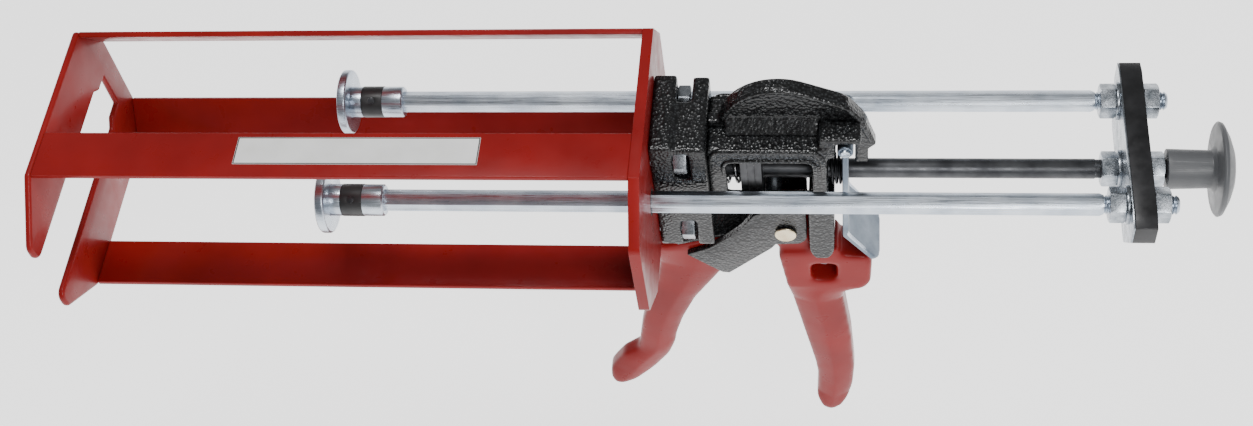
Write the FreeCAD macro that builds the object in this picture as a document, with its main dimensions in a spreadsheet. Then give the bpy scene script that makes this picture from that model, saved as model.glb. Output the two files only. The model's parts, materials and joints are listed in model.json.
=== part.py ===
"""Two-cartridge caulking gun, as a parametric assembly of separate pieces.

Millimetres. X runs along the push rods towards the pull knob, Y across them, Z up.
The origin is on the front face of the cradle's rear plate, midway between the push rods.
"""
import FreeCAD, Part
import math
import os
import re

import Sketcher
from FreeCAD import Vector

SIZES = {
    # cradle: two plates joined by four bars, open on the -Y side
    "bay_length": 249, "front_thickness": 3, "rear_thickness": 4.6, "bar_thickness": 2.4,
    "half_height": 41.5, "side_half_height": 21.8,
    "corner_near": 45, "corner_far": 33, "near_edge": 67.3, "far_edge": 47.4, "leg_extra": 2,
    "bar_inner_edge": 22.6, "tip_radius": 4.5,
    "slot_half": 12.9, "slot_shoulder": 22, "slot_neck": 26, "slot_neck_half": 9.4, "slot_end": 34,
    "label_start": 163.5, "label_length": 102, "label_near": 39, "label_width": 13.7,
    "label_thickness": 0.3,
    # push rods, drive rod and what is threaded on them
    "rod_offset": 26.9, "hex_flat": 8, "rod_front": 110, "rod_shoulder": 188.5, "thread_end": 218.6,
    "drive_drop": 11.8, "drive_radius": 4.25, "drive_front": 95, "drive_thread_end": 229,
    "thread_radius": 3.95, "thread_gap": 0.05, "running_gap": 0.05,
    "nut_flat": 13, "nut_height": 6.5, "washer_radius": 8, "washer_thickness": 1.5,
    # yoke
    "yoke_front": 198.8, "yoke_facing": 0.8, "yoke_plate": 8.8, "yoke_reach": 43, "yoke_top": 8,
    "yoke_bottom": 21, "yoke_shoulder": 6, "yoke_heel": 4, "yoke_foot": 31, "yoke_corner": 3,
    "clearance_radius": 4.2,
    # plungers
    "disc_front": 137.5, "disc_thickness": 4, "disc_radius": 14.25,
    "collar_radius": 6.8, "groove_front": 128.6, "groove_rear": 119, "groove_radius": 5.8,
    "band_radius": 6.95,
    "spigot_front": 127, "set_screw_radius": 1.5, "set_screw_tilt": 35,
    "plunger_screw_radius": 2.5, "plunger_head_radius": 4.6, "plunger_head_depth": 2,
    "plunger_screw_length": 8,
    # pull knob
    "knob_start": 217.4, "knob_shank_radius": 8.5, "knob_disc_radius": 20,
    # bushes
    "bush_flange_radius": 8, "bush_flange": 2.6, "bush_radius": 6, "bush_bore": 4.67,
    "drive_bush_radius": 6.2, "drive_bush_end": 15,
    # body casting: a block with a pocket for each frame nut, then the bridge over the grip plates
    "body_half_width": 20, "body_top": 27, "body_bottom": 42, "flange_end": 14.4, "body_end": 28,
    "body_step": 25.8, "pocket_end": 21, "pocket_depth": 13.6, "pocket_roof": 22.5,
    "pocket_upper": 6, "pocket_lower": 24.5,
    "spring_bore": 7.4, "bolt_offset": 14.4, "bolt_upper": 14.8, "bolt_lower": 33,
    "bolt_hole": 4.2, "bolt_head_radius": 7, "bolt_head": 3.2, "frame_nut": 5.5, "frame_nut_turn": 20,
    "bridge_end": 77.5, "bridge_half_width": 15, "bridge_top": 19.5, "bridge_bottom": 22,
    "cavity_start": 31.4, "cavity_end": 74, "cavity_half_width": 12, "cavity_top": 11.5,
    "window_start": 35.6, "window_end": 71, "window_top": 11, "window_bottom": 10.5,
    "lug_start": 69, "lug_end": 80, "lug_bottom": 61, "lug_half_width": 14,
    "hood_end": 91.5, "hood_near": 13.5, "hood_far": 3.6, "hood_under": 21.4, "hood_top": 24.5,
    "neck_bottom": 12, "neck_gap": 0.5,
    # dome web: an arc that runs into a sloping back and a beak
    "dome_x": 57.5, "dome_z": 19.5, "dome_radius": 25, "dome_half_width": 2.6, "neck_top": 23.6,
    "foot_start": 35, "foot_half_width": 7.5, "foot_top": 27,
    "dome_slope_start": 68, "dome_slope_z": 42.2, "dome_back": 85.5, "dome_back_z": 34.3,
    "beak_brow": 93.1, "beak_brow_z": 23.1, "beak_reach": 97.6, "beak_tip_z": 8, "beak_end": 94.3,
    "beak_bottom": 4.5, "beak_front": 88.8, "web_under": 12.6,
    # grip plates and their return spring
    "plates_front": 40.8, "grip_plate": 3, "plate_half_width": 11, "plate_top": 10, "plate_bottom": 30,
    "grip_bore": 4.32, "spring_front": 17, "spring_coil": 6.2, "spring_wire": 0.7, "spring_pitch": 4.4,
    "bore_front": 16.5,
    # release lever
    "pin_x": 84.9, "pin_z": 17.2, "pin_radius": 2, "knuckle_radius": 3.4, "pin_half_length": 15.2,
    "notch_half_width": 3.2, "notch_bottom": 11.5,
    "lever_front": 83.6, "lever_thickness": 2.6, "lever_half_width": 14.4, "lever_bend": 42,
    "tab_reach": 100, "tab_drop": 62, "lever_bore": 4.65, "tab_corner": 5,
    "release_coil": 6.4, "release_wire": 0.55, "release_pitch": 1.6,
    # trigger
    "pivot_x": 58.6, "pivot_z": 46.5, "pivot_radius": 3.2, "pivot_head_radius": 4.8, "pivot_head": 1.4,
    "trigger_half_width": 7, "cheek_inner": 7.2, "cheek_outer": 10.2, "cheek_gap": 0.2,
    "roller_x": 53.8, "roller_z": 26, "roller_radius": 3.5, "roller_pin_radius": 2,
    "dowel_x": 26, "dowel_z": 67, "dowel_rear_x": 38, "dowel_rear_z": 57, "dowel_radius": 2.5,
    "dowel_half_length": 9,
    # rear grip
    "grip_half_width": 9, "tongue_half_width": 6.8, "grip_bolt_x": 75, "grip_bolt_radius": 3,
    "grip_bolt_top": 38, "grip_bolt_seat": 74, "grip_bolt_head": 5, "grip_bolt_head_radius": 5,
    "pocket_radius": 5.6,
}

doc = FreeCAD.newDocument("caulking_gun")
sheet = doc.addObject("Spreadsheet::Sheet", "Sizes")
for row, (alias, value) in enumerate(SIZES.items(), start=1):
    sheet.set(f"A{row}", alias)
    sheet.set(f"B{row}", str(value))
    sheet.setAlias(f"B{row}", alias)
doc.recompute()

ALONG_X = FreeCAD.Rotation(Vector(0, 1, 0), 90)
ALONG_Y = FreeCAD.Rotation(Vector(1, 0, 0), -90)
pieces = []


# ---------------------------------------------------------------- helpers
def cells(text):
    """The expression with each size's alias pointing at its cell."""
    return re.sub(r"[a-z_]{2,}",
                  lambda word: "Sizes." + word.group() if word.group() in SIZES else word.group(), text)


def size(text):
    """The present value of an expression of sizes."""
    return float(sheet.evalExpression(text))


def bind(thing, name, text):
    thing.setExpression(name, cells(text))


def keep(thing, label):
    """Mark an object as a sub-part, under the name of its file."""
    thing.Label = label
    pieces.append(thing)
    return thing


def move(thing, x="0", y="0", z="0", turn=None):
    """Place an object at sizes taken from the sheet."""
    if turn:
        thing.Placement = FreeCAD.Placement(Vector(0, 0, 0), turn)
    for axis, text in zip("xyz", (x, y, z)):
        bind(thing, f"Placement.Base.{axis}", text)
    return thing


def new_body(label):
    return keep(doc.addObject("PartDesign::Body", label), label)


def new_sketch(body, role, height):
    sketch = body.newObject("Sketcher::SketchObject", body.Name + "_sketch")
    plane = next(item for item in body.Origin.OriginFeatures if item.Role == role)
    sketch.AttachmentSupport = [(plane, "")]
    sketch.MapMode = "FlatFace"
    bind(sketch, "AttachmentOffset.Base.z", height)
    return sketch


def fix_point(sketch, index, position, across, up):
    """Tie one point of a sketch to two sizes."""
    for kind, text in (("DistanceX", across), ("DistanceY", up)):
        number = sketch.addConstraint(Sketcher.Constraint(kind, -1, 1, index, position, size(text)))
        bind(sketch, f"Constraints[{number}]", text)


def polygon(body, role, height, corners):
    sketch = new_sketch(body, role, height)
    spots = [Vector(size(across), size(up), 0) for across, up in corners]
    count = len(spots)
    for index in range(count):
        sketch.addGeometry(Part.LineSegment(spots[index], spots[(index + 1) % count]))
    for index in range(count):
        sketch.addConstraint(Sketcher.Constraint("Coincident", index, 2, (index + 1) % count, 1))
    for index, (across, up) in enumerate(corners):
        fix_point(sketch, index, 1, across, up)
    return sketch


def circles(body, role, height, rings):
    sketch = new_sketch(body, role, height)
    for index, (across, up, radius) in enumerate(rings):
        sketch.addGeometry(Part.Circle(Vector(size(across), size(up), 0), Vector(0, 0, 1), size(radius)))
        fix_point(sketch, index, 3, across, up)
        number = sketch.addConstraint(Sketcher.Constraint("Radius", index, size(radius)))
        bind(sketch, f"Constraints[{number}]", radius)
    return sketch


def pad(body, sketch, length, both_ways=False):
    feature = body.newObject("PartDesign::Pad", body.Name + "_pad")
    feature.Profile = sketch
    bind(feature, "Length", length)
    if both_ways:
        feature.SideType = "Symmetric"
    doc.recompute()
    return feature


def pocket(body, sketch, length, both_ways=False):
    """Cut along the sketch's normal, and make sure that something was cut."""
    before = body.Shape.Volume
    feature = body.newObject("PartDesign::Pocket", body.Name + "_pocket")
    feature.Profile = sketch
    bind(feature, "Length", length)
    if both_ways:
        feature.SideType = "Symmetric"
    else:
        feature.Reversed = True
    doc.recompute()
    if body.Shape.Volume >= before - 0.01:
        raise RuntimeError(body.Label + ": a pocket cut nothing")
    return feature


def round_edges(body, radius, wanted):
    """Fillet the edges of a body that a test picks."""
    base = body.Tip
    names = [f"Edge{n}" for n, edge in enumerate(base.Shape.Edges, start=1) if wanted(edge)]
    if not names:
        raise RuntimeError(body.Label + ": no edge to round")
    feature = body.newObject("PartDesign::Fillet", body.Name + "_fillet")
    feature.Base = (base, names)
    bind(feature, "Radius", radius)
    doc.recompute()
    return feature


def runs_along(edge, axis):
    if edge.Curve.TypeId != "Part::GeomLine":
        return False
    return abs(abs(getattr(edge.tangentAt(edge.FirstParameter), axis)) - 1) < 1e-6


def middle(edge):
    return edge.valueAt((edge.FirstParameter + edge.LastParameter) / 2)


def cylinder(name, radius, length, x, y, z, turn=ALONG_X):
    rod = doc.addObject("Part::Cylinder", name)
    bind(rod, "Radius", radius)
    bind(rod, "Height", length)
    return move(rod, x, y, z, turn)


def block(name, low, high):
    """A box between two corners, each three expressions."""
    box = doc.addObject("Part::Box", name)
    for side, first, last in zip(("Length", "Width", "Height"), low, high):
        bind(box, side, f"({last}) - ({first})")
    return move(box, *low)


def hexagon(name, across_flats, length, x, y, z, spin=0):
    """A hexagonal bar along X, with two corners up and down unless it is spun."""
    bar = doc.addObject("Part::Prism", name)
    bar.Polygon = 6
    bind(bar, "Circumradius", f"({across_flats}) / sqrt(3)")
    bind(bar, "Height", length)
    return move(bar, x, y, z, ALONG_X * FreeCAD.Rotation(Vector(0, 0, 1), spin))


def fuse(name, shapes):
    joined = doc.addObject("Part::MultiFuse", name)
    joined.Shapes = shapes
    return joined


def cut(name, base, tools):
    """Take one or more tools out of a base."""
    carved = doc.addObject("Part::Cut", name)
    carved.Base = base
    carved.Tool = tools[0] if len(tools) == 1 else fuse(name + "_tools", tools)
    return carved


def group(name, shapes):
    """Identical fasteners, kept as separate solids in one sub-part."""
    together = doc.addObject("Part::Compound", name)
    together.Links = shapes
    return together


def coil(name, radius, wire, pitch, turns):
    """A helical spring along X, starting at its own origin."""
    path = Part.makeHelix(size(pitch), size(pitch) * turns, size(radius))
    section = Part.Wire(Part.makeCircle(size(wire), Vector(size(radius), 0, 0), Vector(0, 1, 0)))
    spring = doc.addObject("Part::Feature", name)
    spring.Shape = Part.Wire(path).makePipeShell([section], True, True)
    return spring


# ---------------------------------------------------------------- cradle
OCTAGON = [
    ("-near_edge", "side_half_height"), ("-corner_near", "half_height"),
    ("corner_far", "half_height"), ("far_edge", "side_half_height"),
    ("far_edge", "-side_half_height"), ("corner_far", "-half_height"),
    ("-corner_near", "-half_height"), ("-near_edge", "-side_half_height"),
]
SLOT = [
    ("-near_edge", "-slot_half"), ("slot_shoulder", "-slot_half"), ("slot_neck", "-slot_neck_half"),
    ("slot_end", "-slot_neck_half"), ("slot_end", "slot_neck_half"), ("slot_neck", "slot_neck_half"),
    ("slot_shoulder", "slot_half"), ("-near_edge", "slot_half"),
]


def is_leg_tip(edge):
    return runs_along(edge, "x") and middle(edge).y < 0.1 - size("near_edge")


def make_front_plate():
    """The front plate, whose slot lets the cartridge's nozzle in from the -Y side."""
    body = new_body("front_plate")
    outline = [(across.replace("-near_edge", "-near_edge - leg_extra"), up) for across,
               up in OCTAGON + SLOT]
    pad(body, polygon(body, "YZ_Plane", "-bay_length - front_thickness", outline), "front_thickness")
    round_edges(body, "tip_radius", is_leg_tip)


def make_rear_plate():
    body = new_body("rear_plate")
    pad(body, polygon(body, "YZ_Plane", "0", OCTAGON), "rear_thickness")
    holes = [(f"{side}rod_offset", "0", "bush_radius") for side in ("-", "")]
    holes += [("0", "-drive_drop", "drive_bush_radius")]
    holes += [(y, z, "bolt_hole") for y, z in BOLT_PLACES]
    pocket(body, circles(body, "YZ_Plane", "0", holes), "rear_thickness")
    round_edges(body, "tip_radius", is_leg_tip)


def make_level_bar(label, top, bottom):
    keep(block(label, ("-bay_length", "-corner_near", bottom), ("0", "-bar_inner_edge", top)), label)


def make_far_bar(label, sign):
    """A bar on one of the far chamfers, its outer face flush with the plates' edges."""
    rise = "(half_height - side_half_height)"
    run = "(far_edge - corner_far)"
    chamfer = f"sqrt({rise} ^ 2 + {run} ^ 2)"
    corners = [
        ("corner_far", f"{sign}half_height"),
        ("far_edge", f"{sign}side_half_height"),
        (f"far_edge - bar_thickness * {rise} / {chamfer}",
         f"{sign}(side_half_height - bar_thickness * {run} / {chamfer})"),
        (f"corner_far - bar_thickness * {rise} / {chamfer}",
         f"{sign}(half_height - bar_thickness * {run} / {chamfer})"),
    ]
    body = new_body(label)
    pad(body, polygon(body, "YZ_Plane", "-bay_length", corners), "bay_length")


def make_label():
    low = ("-label_start", "-label_near", "half_height")
    high = ("-label_start + label_length", "-label_near + label_width", "half_height + label_thickness")
    keep(block("blank_label", low, high), "blank_label")


# ---------------------------------------------------------------- body casting
BOLT_PLACES = [(f"{side}bolt_offset", height) for side in ("-", "") for height in ("bolt_upper",
                                                                                   "-bolt_lower")]


def make_mounting_block():
    """The block behind the rear plate, with a pocket for each frame nut."""
    front = block("block_front", ("rear_thickness", "-body_half_width", "-body_bottom"),
                  ("flange_end", "body_half_width", "body_top"))
    back = block("block_back", ("flange_end", "-body_half_width", "-body_bottom"),
                 ("body_end", "body_half_width", "body_step"))
    tools = [
        cylinder("bush_hole", "drive_bush_radius", "drive_bush_end - rear_thickness",
                 "rear_thickness", "0", "-drive_drop"),
        cylinder("rod_hole", "drive_bush_radius - 1", "bore_front", "rear_thickness", "0", "-drive_drop"),
        cylinder("spring_hole", "spring_bore", "body_end", "bore_front", "0", "-drive_drop"),
    ]
    for number, (y, z) in enumerate(BOLT_PLACES):
        tools.append(cylinder(f"bolt_hole_{number}", "bolt_hole", "flange_end", "rear_thickness", y, z))
        outside = "-body_half_width" if y.startswith("-") else "body_half_width - pocket_depth"
        roof = "pocket_roof" if y.startswith("-") else "body_top"
        floor, top = ("-body_bottom", "-pocket_lower") if z.startswith("-") else ("pocket_upper", roof)
        tools.append(block(f"nut_pocket_{number}", ("flange_end", outside, floor),
                           ("pocket_end", f"{outside} + pocket_depth", top)))
    keep(cut("mounting_block_cut", fuse("block_solid", [front, back]), tools), "mounting_block")


def make_bridge():
    """The box over the grip plates: a window each side, a rear lug, a hood over the release lever."""
    shell = block("bridge_shell", ("body_end", "-bridge_half_width", "-bridge_bottom"),
                  ("bridge_end", "bridge_half_width", "bridge_top"))
    lug = block("bridge_lug", ("lug_start", "-lug_half_width", "-lug_bottom"),
                ("lug_end", "lug_half_width", "-bridge_bottom"))
    hood = block("bridge_hood", ("cavity_end", "-hood_near", "hood_under"),
                 ("hood_end", "hood_far", "hood_top"))
    neck = block("hood_neck", ("cavity_end", "-hood_near", "neck_bottom"),
                 ("pin_x - knuckle_radius - neck_gap", "hood_far", "hood_top"))
    tools = [
        block("cavity", ("cavity_start", "-cavity_half_width", "-bridge_bottom"),
              ("cavity_end", "cavity_half_width", "cavity_top")),
        block("windows", ("window_start", "-body_half_width", "-window_bottom"),
              ("window_end", "body_half_width", "window_top")),
        cylinder("spring_way", "spring_bore", "cavity_start", "body_end", "0", "-drive_drop"),
        cylinder("rod_way", "lever_bore", "bridge_end", "cavity_start", "0", "-drive_drop"),
        cylinder("bolt_way", "grip_bolt_radius + running_gap", "lug_bottom - grip_bolt_top",
                 "grip_bolt_x", "0", "-lug_bottom", FreeCAD.Rotation()),
        block("web_slot", ("bridge_end", "-dome_half_width", "neck_bottom - 1"),
              ("hood_end + 1", "dome_half_width", "hood_top + 1")),
    ]
    keep(cut("bridge_cut", fuse("bridge_solid", [shell, lug, hood, neck]), tools), "bridge_housing")


def make_dome():
    """The upright web on the bridge: an arc, a sloping back, and a beak behind the release lever."""
    disc = cylinder("dome_disc", "dome_radius", "2 * dome_half_width", "dome_x", "-dome_half_width",
                    "dome_z", ALONG_Y)
    neck = block("dome_neck", ("body_end", "-dome_half_width", "bridge_top"),
                 ("dome_x", "dome_half_width", "neck_top"))
    foot = doc.addObject("PartDesign::Body", "dome_foot")
    corners = [("-foot_half_width", "bridge_top"), ("foot_half_width", "bridge_top"),
               ("dome_half_width", "foot_top"), ("-dome_half_width", "foot_top")]
    pad(foot, polygon(foot, "YZ_Plane", "foot_start", corners), "cavity_end - foot_start")
    back = doc.addObject("PartDesign::Body", "dome_back_web")
    corners = [
        ("dome_x", "bridge_top"), ("dome_slope_start", "dome_slope_z"), ("dome_back", "dome_back_z"),
        ("beak_brow", "beak_brow_z"), ("beak_reach", "beak_tip_z"), ("beak_end", "beak_bottom"),
        ("beak_end", "-beak_bottom"), ("beak_front", "-beak_bottom"), ("beak_front", "web_under"),
        ("bridge_end", "web_under"), ("bridge_end", "bridge_top"),
    ]
    pad(back, polygon(back, "XZ_Plane", "0", corners), "2 * dome_half_width", both_ways=True)
    tools = [
        block("dome_below", ("0", "-near_edge", "-near_edge"), ("bridge_end", "near_edge", "bridge_top")),
        block("dome_behind_neck", ("cavity_end", "-near_edge", "0"),
              ("bridge_end", "near_edge", "hood_top")),
        cylinder("web_pin_hole", "pin_radius", "2 * pin_half_length", "pin_x", "-pin_half_length", "pin_z",
                 ALONG_Y),
    ]
    keep(cut("dome_cut", fuse("dome_solid", [disc, neck, foot, back]), tools), "dome_web")


# ---------------------------------------------------------------- bushes and frame fasteners
def make_rod_bush(label, side):
    flange = cylinder(label + "_flange", "bush_flange_radius", "bush_flange", "-bush_flange",
                      side + "rod_offset", "0")
    barrel = cylinder(label + "_barrel", "bush_radius", "rear_thickness + 1", "-1", side + "rod_offset",
                      "0")
    bore = cylinder(label + "_bore", "bush_bore", "rear_thickness + 2 * bush_flange",
                    "-bush_flange - 1", side + "rod_offset", "0")
    keep(cut(label, fuse(label + "_solid", [flange, barrel]), [bore]), label)


def make_drive_bush():
    flange = cylinder("drive_bush_flange", "bush_flange_radius", "bush_flange", "-bush_flange", "0",
                      "-drive_drop")
    barrel = cylinder("drive_bush_barrel", "drive_bush_radius", "drive_bush_end + 1", "-1", "0",
                      "-drive_drop")
    bore = cylinder("drive_bush_bore", "drive_radius + running_gap", "drive_bush_end + 2 * bush_flange",
                    "-bush_flange - 1", "0", "-drive_drop")
    keep(cut("drive_rod_bush", fuse("drive_bush_solid", [flange, barrel]), [bore]), "drive_rod_bush")


def make_frame_bolts():
    bolts = []
    nuts = []
    for number, (y, z) in enumerate(BOLT_PLACES):
        head = cylinder(f"bolt_head_{number}", "bolt_head_radius", "bolt_head", "-bolt_head", y, z)
        shank = cylinder(f"bolt_shank_{number}", "thread_radius", "flange_end + frame_nut + 1", "-1", y, z)
        socket = hexagon(f"bolt_socket_{number}", "5", "2", "-bolt_head", y, z)
        bolts.append(cut(f"bolt_{number}", fuse(f"bolt_solid_{number}", [head, shank]), [socket]))
        nuts.append(make_nut(f"frame_nut_{number}", "flange_end", "frame_nut", y, z,
                             size("frame_nut_turn")))
    keep(group("frame_bolts", bolts), "frame_bolts")
    keep(group("frame_nuts", nuts), "frame_nuts")


def make_nut(name, x, height, y, z, spin=0):
    """A plain M8 nut, its corners chamfered by a cone at each face."""
    bar = hexagon(name + "_bar", "nut_flat", height, x, y, z, spin)
    blank = cylinder(name + "_blank", "nut_flat / sqrt(3)", height, x, y, z)
    rounded = doc.addObject("Part::Chamfer", name + "_rounded")
    rounded.Base = blank
    doc.recompute()
    ends = [n for n, edge in enumerate(blank.Shape.Edges,
                                       start=1) if edge.Curve.TypeId == "Part::GeomCircle"]
    rounded.Edges = [(n, 0.45, 0.9) for n in ends]
    solid = doc.addObject("Part::Common", name + "_solid")
    solid.Base = bar
    solid.Tool = rounded
    bore = cylinder(name + "_bore", "thread_radius + thread_gap", f"({height}) + 2", f"({x}) - 1", y, z)
    return cut(name, solid, [bore])


# ---------------------------------------------------------------- rod carriage
ROD_PLACES = [("-rod_offset", "0"), ("0", "-drive_drop"), ("rod_offset", "0")]


def make_push_rod(label, y):
    bar = hexagon(label + "_bar", "hex_flat", "rod_front + rod_shoulder", "-rod_front", y, "0")
    spigot = cylinder(label + "_spigot", "thread_radius", "spigot_front - rod_front + 1", "-spigot_front",
                      y, "0")
    thread = cylinder(label + "_thread", "thread_radius", "thread_end - rod_shoulder + 1",
                      "rod_shoulder - 1", y, "0")
    keep(fuse(label, [bar, spigot, thread]), label)


def make_drive_rod():
    bar = cylinder("drive_bar", "drive_radius", "drive_front + rod_shoulder", "-drive_front", "0",
                   "-drive_drop")
    thread = cylinder("drive_thread", "thread_radius", "drive_thread_end - rod_shoulder + 1",
                      "rod_shoulder - 1", "0", "-drive_drop")
    keep(fuse("drive_rod", [bar, thread]), "drive_rod")


def make_yoke_plate(label, x, thickness):
    """One layer of the yoke, deeper in the middle for the drive rod."""
    corners = [
        ("-yoke_reach + 6", "yoke_top"), ("yoke_reach - 6", "yoke_top"),
        ("yoke_reach", "yoke_shoulder"), ("yoke_reach", "-yoke_heel"),
        ("yoke_foot", "-yoke_bottom"), ("-yoke_foot", "-yoke_bottom"),
        ("-yoke_reach", "-yoke_heel"), ("-yoke_reach", "yoke_shoulder"),
    ]
    body = new_body(label)
    pad(body, polygon(body, "YZ_Plane", x, corners), thickness)
    holes = [(y, z, "clearance_radius") for y, z in ROD_PLACES]
    pocket(body, circles(body, "YZ_Plane", x, holes), thickness)
    limit = size(thickness) + 0.1
    round_edges(body, "yoke_corner", lambda edge: runs_along(edge, "x") and edge.Length < limit
                and middle(edge).z < 0)


def make_washer(name, x, y, z):
    ring = cylinder(name + "_ring", "washer_radius", "washer_thickness", x, y, z)
    hole = cylinder(name + "_hole", "clearance_radius", "washer_thickness + 2", f"{x} - 1", y, z)
    return cut(name, ring, [hole])


def make_yoke_fasteners():
    """Nuts and washers each side of the yoke; behind it only the drive rod has a washer."""
    front = []
    rear = []
    washers = []
    for n, (y, z) in enumerate(ROD_PLACES):
        front.append(make_nut(f"front_nut_{n}", "yoke_front - washer_thickness - nut_height", "nut_height",
                              y, z))
        washers.append(make_washer(f"washer_{n}", "yoke_front - washer_thickness", y, z))
        back = "yoke_front + yoke_facing + yoke_plate"
        if y == "0":
            washers.append(make_washer("washer_behind", back, y, z))
            back += " + washer_thickness"
        rear.append(make_nut(f"rear_nut_{n}", back, "nut_height", y, z))
    keep(group("yoke_front_nuts", front), "yoke_front_nuts")
    keep(group("yoke_rear_nuts", rear), "yoke_rear_nuts")
    keep(group("yoke_washers", washers), "yoke_washers")


def turned(label, x, y, z, profile):
    """A body of revolution about a line along X, from (distance, radius) pairs."""
    body = new_body(label)
    feature = body.newObject("PartDesign::Revolution", label + "_turned")
    sketch = polygon(body, "XZ_Plane", "0", profile)
    feature.Profile = sketch
    feature.ReferenceAxis = (sketch, ["H_Axis"])
    feature.Angle = 360
    body.Tip = feature
    move(body, x, y, z)
    return body


def make_knob():
    """Pull knob: a shank screwed on the drive rod, and a domed disc."""
    bore = "thread_radius + thread_gap"
    depth = "drive_thread_end - knob_start + 0.5"
    turned("pull_knob", "knob_start", "0", "-drive_drop", [
        ("0", bore), ("0", "knob_shank_radius"), ("18", "knob_shank_radius - 0.5"),
        ("19.6", "knob_shank_radius + 1.5"), ("20", "knob_disc_radius - 1"), ("20.8", "knob_disc_radius"),
        ("22.2", "knob_disc_radius - 0.5"), ("24.6", "knob_disc_radius - 5"),
        ("26.4", "knob_disc_radius - 10"),
        ("27.3", "knob_disc_radius - 15"), ("27.6", "0"), (depth, "0"), (depth, bore),
    ])


def make_plunger(end, y):
    """Disc, collar, band and screws on the front end of one push rod."""
    turned(f"plunger_disc_{end}", "-disc_front", y, "0", [
        ("0", "plunger_head_radius + 0.1"), ("0", "disc_radius - 0.6"), ("0.6", "disc_radius"),
        ("disc_thickness - 0.6", "disc_radius"), ("disc_thickness", "disc_radius - 0.6"),
        ("disc_thickness", "plunger_screw_radius + 0.1"),
        ("plunger_head_depth", "plunger_screw_radius + 0.1"),
        ("plunger_head_depth", "plunger_head_radius + 0.1"),
    ])
    wall = "disc_front - disc_thickness"
    bore = "thread_radius + thread_gap"
    turned(f"plunger_collar_{end}", f"-({wall})", y, "0", [
        ("0", "plunger_screw_radius + thread_gap"), ("0", "collar_radius"),
        (f"{wall} - groove_front", "collar_radius"), (f"{wall} - groove_front", "groove_radius"),
        (f"{wall} - groove_rear", "groove_radius"), (f"{wall} - groove_rear", "collar_radius"),
        (f"{wall} - rod_front - 0.6", "collar_radius"), (f"{wall} - rod_front", "collar_radius - 0.6"),
        (f"{wall} - rod_front", bore), (f"{wall} - spigot_front", bore),
        (f"{wall} - spigot_front", "plunger_screw_radius + thread_gap"),
    ])
    turned(f"collar_band_{end}", "-groove_front", y, "0", [
        ("0", "groove_radius"), ("0", "band_radius - 0.3"), ("0.3", "band_radius"),
        ("groove_front - groove_rear - 0.3", "band_radius"),
        ("groove_front - groove_rear", "band_radius - 0.3"),
        ("groove_front - groove_rear", "groove_radius"),
    ])


def drill_for_set_screws():
    """Radial holes through band and collar, and the screws that fill them."""
    spot = "-(groove_front + groove_rear) / 2"
    tilt = FreeCAD.Rotation(Vector(1, 0, 0), size("set_screw_tilt"))
    screws = []
    for end, y in (("near", "-rod_offset"), ("far", "rod_offset")):
        for piece in (f"plunger_collar_{end}", f"collar_band_{end}"):
            whole = next(item for item in pieces if item.Label == piece)
            pieces.remove(whole)
            whole.Label = piece + "_undrilled"
            hole = cylinder(piece + "_hole", "set_screw_radius + thread_gap", "band_radius + 2", spot, y,
                            "0", tilt)
            keep(cut(piece + "_drilled", whole, [hole]), piece)
        screw = cylinder(f"set_screw_{end}", "set_screw_radius", "band_radius + 0.2", spot, y, "0", tilt)
        room = cylinder(f"set_screw_room_{end}", "thread_radius + 0.1", "2 * band_radius",
                        f"({spot}) - band_radius", y, "0")
        screws.append(cut(f"set_screw_end_{end}", screw, [room]))
    keep(group("set_screws", screws), "set_screws")


def make_plunger_screws():
    screws = []
    for n, y in enumerate(("-rod_offset", "rod_offset")):
        head = cylinder(f"plunger_head_{n}", "plunger_head_radius", "plunger_head_depth", "-disc_front", y,
                        "0")
        shank = cylinder(f"plunger_shank_{n}", "plunger_screw_radius", "plunger_screw_length",
                         "-disc_front", y, "0")
        socket = hexagon(f"plunger_socket_{n}", "3", "1.4", "-disc_front", y, "0")
        screws.append(cut(f"plunger_screw_{n}", fuse(f"plunger_screw_solid_{n}", [head, shank]), [socket]))
    keep(group("plunger_screws", screws), "plunger_screws")


# ---------------------------------------------------------------- grip plates
def make_grip_plate(label, number):
    """A hardened plate that bites on the drive rod when the trigger pushes it."""
    start = f"plates_front + {number} * grip_plate"
    body = new_body(label)
    corners = [
        ("-plate_half_width", "plate_top"), ("plate_half_width", "plate_top"),
        ("plate_half_width", "-plate_bottom"), ("-plate_half_width", "-plate_bottom"),
    ]
    pad(body, polygon(body, "YZ_Plane", start, corners), "grip_plate")
    pocket(body, circles(body, "YZ_Plane", start, [("0", "-drive_drop", "grip_bore")]), "grip_plate")
    round_edges(body, "grip_plate / 2", lambda edge: runs_along(edge, "x"))


def make_springs():
    turns = (size("plates_front - spring_front") - 2 * size("spring_wire") - 0.2) / size("spring_pitch")
    spring = coil("return_spring", "spring_coil", "spring_wire", "spring_pitch", turns)
    keep(move(spring, "spring_front + spring_wire", "0", "-drive_drop", ALONG_X), "return_spring")
    turns = (size("lever_front - bridge_end") - 2 * size("release_wire") - 0.2) / size("release_pitch")
    spring = coil("release_spring", "release_coil", "release_wire", "release_pitch", turns)
    keep(move(spring, "bridge_end + release_wire + 0.1", "0", "-drive_drop", ALONG_X), "release_spring")


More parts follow.
